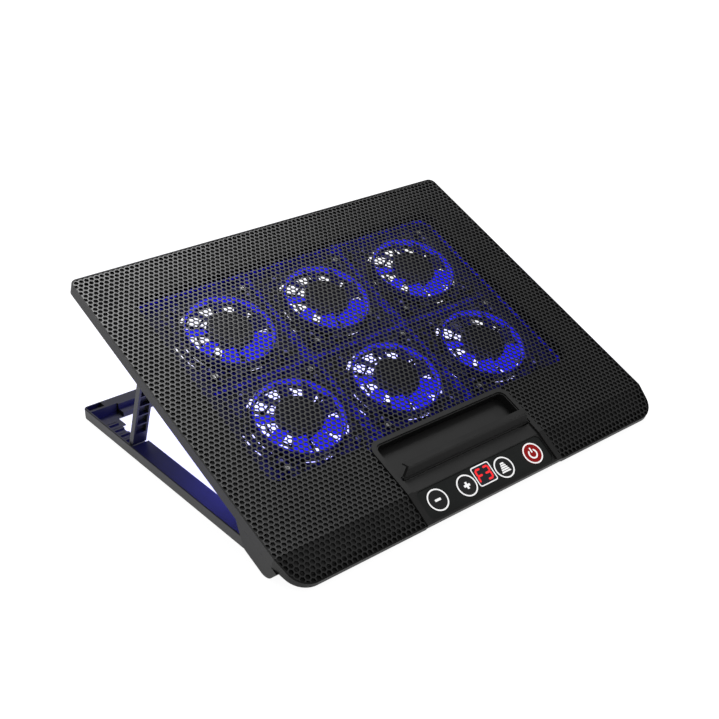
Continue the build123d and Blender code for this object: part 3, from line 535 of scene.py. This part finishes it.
def sheet_outline():
    """Plan of the sheet inside the rim, anticlockwise."""
    side = PAD_WIDTH / 2 - SHEET_INSET
    radius = max(BACK_RADIUS - SHEET_INSET, 2.0)
    back = arc(side - radius, -SHEET_INSET - radius, radius, 0, 90, 6)
    return mirrored(front_corner(SHEET_INSET) + back)


def honeycomb(x_low, x_high, y_low, y_high):
    """Flat sheet of hexagonal holes over a box, two skins joined by the holes' walls."""
    bm = bmesh.new()
    corner = [math.radians(90 - 60 * k) for k in range(6)]
    reach = HOLE_FLATS / math.sqrt(3)
    squeeze = ROW_PITCH / (HEX_PITCH * math.sqrt(3) / 2)
    first_row = int((SHEET_INSET - y_high) / ROW_PITCH) - 1
    last_row = int(-y_low / ROW_PITCH) + 2
    half = PAD_WIDTH / 2
    columns = range(int((x_low + half) / HEX_PITCH) - 2, int((x_high + half) / HEX_PITCH) + 3)
    cells = {}
    for row in range(first_row, last_row):
        for column in columns:
            x = -half + FIRST_HOLE_X + (column + (row % 2) / 2) * HEX_PITCH
            y = -FIRST_HOLE_Y - row * ROW_PITCH
            rim = [(x + reach * math.cos(a), y + reach * squeeze * math.sin(a)) for a in corner]
            top = [bm.verts.new((px, py, SHEET_TOP)) for px, py in rim]
            low = [bm.verts.new((px, py, SHEET_TOP - SHEET_THICK)) for px, py in rim]
            cells[row, column] = (top, low)
    for (row, column), (top, low) in cells.items():
        for k in range(6):
            after = (k + 1) % 6
            bm.faces.new([top[k], top[after], low[after], low[k]])
        right = cells.get((row, column + 1))
        down_right = cells.get((row + 1, column + row % 2))
        down_left = cells.get((row + 1, column + row % 2 - 1))
        for side in (0, 1):
            turn = 1 if side == 0 else -1
            here = (top, low)[side]
            webs = []
            if right:
                webs.append([here[2], right[side][4], right[side][5], here[1]])
            if down_right:
                webs.append([here[3], down_right[side][5], down_right[side][0], here[2]])
            if down_left:
                webs.append([here[4], down_left[side][0], down_left[side][1], here[3]])
            if right and down_right:
                webs.append([here[2], down_right[side][0], right[side][4]])
            if down_left and down_right:
                webs.append([here[3], down_left[side][1], down_right[side][5]])
            for web in webs:
                bm.faces.new(web[::turn])
    return bm


def everything(bm):
    """All the vertices, edges and faces."""
    return bm.verts[:] + bm.edges[:] + bm.faces[:]


def clipped(bm, outline):
    """Keeps what is inside a convex outline given anticlockwise."""
    for start, end in zip(outline, outline[1:] + outline[:1]):
        along = Vector((end[0] - start[0], end[1] - start[1], 0))
        if along.length < CUT_LIMIT:
            continue
        outward = Vector((along.y, -along.x, 0)).normalized()
        bmesh.ops.bisect_plane(
            bm, geom=everything(bm), dist=CUT_LIMIT, plane_co=(*start, 0), plane_no=outward,
            clear_outer=True)
    return bm


def fold_front(bm):
    """Lowers what lies in front of the slope's start onto the slope."""
    for vert in bm.verts:
        vert.co.z -= max(0.0, -vert.co.y - SLOPE_START) * SLOPE_RATE


def top_sheet():
    """Whole sheet: the part behind the control housing and one part on each side of it."""
    outline = sheet_outline()
    seam = PANEL_BACK - UNDER_PANEL
    inner = PANEL_HALF - UNDER_PANEL
    half = PAD_WIDTH / 2
    bands = (
        (-half, half, seam, 0.0, seam, PAST_BACK),
        (-half, -inner, -PAD_DEPTH, seam, PAST_FRONT, seam),
        (inner, half, -PAD_DEPTH, seam, PAST_FRONT, seam),
    )
    whole = bmesh.new()
    for left, right, first, last, cut_front, cut_back in bands:
        band = [(left, cut_front), (right, cut_front), (right, cut_back), (left, cut_back)]
        part = clipped(clipped(honeycomb(left, right, first, last), outline), band)
        mesh = bpy.data.meshes.new("band")
        part.to_mesh(mesh)
        part.free()
        whole.from_mesh(mesh)
        bpy.data.meshes.remove(mesh)
    bmesh.ops.remove_doubles(whole, verts=whole.verts[:], dist=WELD_LIMIT)
    open_edges = [edge for edge in whole.edges if edge.is_boundary]
    bmesh.ops.holes_fill(whole, edges=open_edges, sides=0)
    fold_front(whole)
    return whole


sheet = new_piece("top_sheet", top_sheet(), PAD, paint, "pad")
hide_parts("top_mesh")

# ---- plate close below the sheet, open over the fan bay, the leg pockets and the control housing
PLATE_INSET = 6.9
PLATE_TOP = -1.45
PLATE_LOW = -2.2
POCKET_SIDE = 165.5
POCKET_FRONT = -109.5
WELL_CORNER = 12.0
PANEL_GAP = 0.4


def backing_plate():
    """Flat plate with the fan bay's opening, folded over the front slope like the sheet."""
    side = PAD_WIDTH / 2 - PLATE_INSET
    corner = [(side, POCKET_FRONT), (POCKET_SIDE, POCKET_FRONT), (POCKET_SIDE, -PLATE_INSET)]
    outer = mirrored(front_corner(PLATE_INSET) + corner)
    gap = PANEL_HALF + PANEL_GAP
    turn_x = WELL_HALF - WELL_CORNER
    front, back = WELL_FRONT + WELL_CORNER, WELL_BACK - WELL_CORNER
    well = [(-gap, -PAD_DEPTH + PLATE_INSET), (-gap, WELL_FRONT)]
    well += arc(-turn_x, front, WELL_CORNER, 270, 180, 6) + arc(-turn_x, back, WELL_CORNER, 180, 90, 6)
    well += arc(turn_x, back, WELL_CORNER, 90, 0, 6) + arc(turn_x, front, WELL_CORNER, 0, -90, 6)
    well += [(gap, WELL_FRONT), (gap, -PAD_DEPTH + PLATE_INSET)]
    bm = bmesh.new()
    prism(bm, outer + well, PLATE_LOW, PLATE_TOP)
    bm.normal_update()
    bmesh.ops.triangulate(bm, faces=[face for face in bm.faces if len(face.verts) > 4])
    bmesh.ops.bisect_plane(
        bm, geom=everything(bm), dist=CUT_LIMIT, plane_co=(0, -SLOPE_START, 0), plane_no=(0, 1, 0))
    fold_front(bm)
    return bm


new_piece("mesh_backing", backing_plate(), PAD, backing, "pad")


# ---- printed rings and signs on the buttons
PRINT = 0.06
BUTTON_TOP = -0.3
RING_OUT = 9.0
RING_IN = 7.85
MINUS_SIZE = (5.6, 1.9)
BAR_RADIUS = 0.3
PLUS_REACH = 2.9
PLUS_ARM = 0.95
MODE_LEVELS = 5
MODE_HALF = 1.5
MODE_GROWTH = 0.62
MODE_START = 4.2
MODE_STEP = 1.75
MODE_HEIGHT = 1.3
POWER_OUT = 4.3
POWER_IN = 3.0
POWER_DROP = 0.4
POWER_TURN = (125, 415)
STROKE_SIZE = (1.3, 4.4)
STROKE_RISE = 2.9


def bar(bm, size, x, y):
    """Flat printed bar with rounded corners."""
    prism(bm, rounded_box(*size, BAR_RADIUS, x, y, 3), BUTTON_TOP, BUTTON_TOP + PRINT)


def minus_sign(bm, x):
    """One level bar."""
    bar(bm, MINUS_SIZE, x, BUTTON_Y)


def plus_sign(bm, x):
    """Upright cross in one outline."""
    h, w = PLUS_REACH, PLUS_ARM
    points = [
        (w, h), (-w, h), (-w, w), (-h, w), (-h, -w), (-w, -w),
        (-w, -h), (w, -h), (w, -w), (h, -w), (h, w), (w, w),
    ]
    prism(bm, [(x + px, BUTTON_Y + py) for px, py in points], BUTTON_TOP, BUTTON_TOP + PRINT)


def mode_sign(bm, x):
    """Stack of bars, wider towards the bottom: fan strength."""
    for level in range(MODE_LEVELS):
        top = MODE_HALF + level * MODE_GROWTH
        low = top + MODE_GROWTH
        y = BUTTON_Y + MODE_START - level * MODE_STEP
        points = [(x - low, y - MODE_HEIGHT), (x + low, y - MODE_HEIGHT), (x + top, y), (x - top, y)]
        prism(bm, points, BUTTON_TOP, BUTTON_TOP + PRINT)


def power_sign(bm, x):
    """Open ring with an upright stroke."""
    start, end = POWER_TURN
    outer = arc(x, BUTTON_Y - POWER_DROP, POWER_OUT, start, end, 24)
    inner = arc(x, BUTTON_Y - POWER_DROP, POWER_IN, end, start, 24)
    low = [bm.verts.new((px, py, BUTTON_TOP)) for px, py in outer + inner]
    high = [bm.verts.new((px, py, BUTTON_TOP + PRINT)) for px, py in outer + inner]
    count = len(outer)
    for k in range(count - 1):
        a, b, c, d = k, k + 1, 2 * count - 2 - k, 2 * count - 1 - k
        bm.faces.new([high[a], high[b], high[c], high[d]])
        bm.faces.new([low[d], low[c], low[b], low[a]])
    for k in range(2 * count):
        after = (k + 1) % (2 * count)
        bm.faces.new([low[k], low[after], high[after], high[k]])
    bar(bm, STROKE_SIZE, x, BUTTON_Y + STROKE_RISE)


SIGNS = {"minus": minus_sign, "plus": plus_sign, "mode": mode_sign, "power": power_sign}
for name, x in BUTTON_X.items():
    print_bm = bmesh.new()
    ring = circle(RING_OUT, x, BUTTON_Y)
    prism(print_bm, ring, BUTTON_TOP, BUTTON_TOP + PRINT, hole=circle(RING_IN, x, BUTTON_Y))
    SIGNS[name](print_bm, x)
    new_piece(f"print_{name}", print_bm, FACE, ink, f"button_{name}")

# ---- display: white frame line and a two-figure read-out
WINDOW_TOP = -0.4
LINE_OUT = (18.6, 16.6, 2.1)
LINE_IN = (16.8, 14.8, 1.3)
frame_bm = bmesh.new()
line_out = rounded_box(*LINE_OUT, DISPLAY_X, DISPLAY_Y)
line_in = rounded_box(*LINE_IN, DISPLAY_X, DISPLAY_Y)
prism(frame_bm, line_out, WINDOW_TOP, WINDOW_TOP + PRINT, hole=line_in)
new_piece("display_line", frame_bm, FACE, ink, "pad")

SEGMENTS = {"F": "aefg", "3": "abcdg"}
SEG_LONG = 5.0
SEG_WIDE = 1.7
SLANT = 0.08
SEG_REACH = 2.55


def segment(bm, cx, cy, upright):
    """One tapered segment of a figure."""
    l, w = SEG_LONG / 2, SEG_WIDE / 2
    points = [(-l, 0), (-l + w, -w), (l - w, -w), (l, 0), (l - w, w), (-l + w, w)]
    if upright:
        points = [(-py, px) for px, py in points]
    placed = [(DISPLAY_X + cx + px + SLANT * (cy + py), DISPLAY_Y + cy + py) for px, py in points]
    prism(bm, placed, WINDOW_TOP, WINDOW_TOP + PRINT)


PLACES = {
    "a": (0, 2 * SEG_REACH, False),
    "b": (SEG_REACH, SEG_REACH, True),
    "c": (SEG_REACH, -SEG_REACH, True),
    "d": (0, -2 * SEG_REACH, False),
    "e": (-SEG_REACH, -SEG_REACH, True),
    "f": (-SEG_REACH, SEG_REACH, True),
    "g": (0, 0, False),
}
FIGURE_X = {"F": -3.8, "3": 3.9}
digits_bm = bmesh.new()
for figure, centre in FIGURE_X.items():
    for key in SEGMENTS[figure]:
        dx, dy, upright = PLACES[key]
        segment(digits_bm, centre + dx, dy, upright)
new_piece("display_digits", digits_bm, FACE, digit, "pad")

# ---- floor, light and camera
FLOOR_HALF = 6.0
FLOOR_DROP = 0.0002
FLOOR_LIGHT = 0.93
SKY_LIGHT = 0.34
floor_bm = bmesh.new()
bmesh.ops.create_grid(floor_bm, x_segments=1, y_segments=1, size=FLOOR_HALF)
floor_mesh = bpy.data.meshes.new("floor")
floor_bm.to_mesh(floor_mesh)
floor_bm.free()
floor = bpy.data.objects.new("floor", floor_mesh)
bpy.context.scene.collection.objects.link(floor)
floor.location.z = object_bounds()[0][2] - FLOOR_DROP
floor_material = shader("floor_pale", (0.35, 0.35, 0.35), 0.9, Specular_IOR_Level=0.0)[0]
floor_mesh.materials.append(emitting(floor_material, WHITE, FLOOR_LIGHT))

world = bpy.data.worlds.new("studio")
bpy.context.scene.world = world
world.use_nodes = True
background = world.node_tree.nodes["Background"]
background.inputs["Color"].default_value = (*WHITE, 1)
background.inputs["Strength"].default_value = SKY_LIGHT
bpy.context.scene.view_settings.view_transform = "Standard"


def add_lamp(name, kind, place, aim, power, colour=WHITE):
    """Lamp of a kind at a place, pointing along a direction."""
    lamp = bpy.data.lights.new(name, kind)
    lamp.energy = power
    lamp.color = colour
    lamp_object = bpy.data.objects.new(name, lamp)
    bpy.context.scene.collection.objects.link(lamp_object)
    lamp_object.location = place
    lamp_object.rotation_euler = Vector(aim).to_track_quat("-Z", "Y").to_euler()
    return lamp_object


KEY_AIM = (-0.3, -0.4, -0.87)
KEY_POWER = 1.7
KEY_SOFTNESS = 26
FILL_PLACE = (-1.5, -0.3, 0.5)
FILL_AIM = (1.5, 0.3, -0.45)
FILL_POWER = 1.2
SPILL_PLACE = Vector((0, -137, -17))
SPILL_COLOUR = (0.12, 0.12, 1.0)
SPILL_POWER = 1.6
key = add_lamp("key", "SUN", (0, 0, 2), KEY_AIM, KEY_POWER)
key.data.angle = math.radians(KEY_SOFTNESS)
side_fill = add_lamp("side_fill", "AREA", FILL_PLACE, FILL_AIM, FILL_POWER)
side_fill.data.size = 1.0

# Light of the fans' LEDs that falls through the grilles on the stand and the table.
spill = add_lamp("led_spill", "AREA", PAD @ SPILL_PLACE, -pad_normal, SPILL_POWER, SPILL_COLOUR)
spill.data.shape = "RECTANGLE"
spill.data.size = 0.28
spill.data.size_y = 0.18
spill.parent = frame["bodies"]["pad"]

CAMERA_LENS = 59.32
CAMERA_FROM_CORNER = Vector((-0.3595, -0.79171, 0.37205))
CAMERA_AIM = Vector((0.56242613, 0.68402857, -0.46452315))
camera_data = bpy.data.cameras.new("camera")
camera_data.lens = CAMERA_LENS
camera_data.sensor_width = 36.0
camera = bpy.data.objects.new("camera", camera_data)
bpy.context.scene.collection.objects.link(camera)
back_left_corner = Vector((rim_low[0], pad_origin.y, pad_origin.z))
camera.location = back_left_corner + CAMERA_FROM_CORNER
camera.rotation_euler = CAMERA_AIM.to_track_quat("-Z", "Y").to_euler()
bpy.context.scene.camera = camera
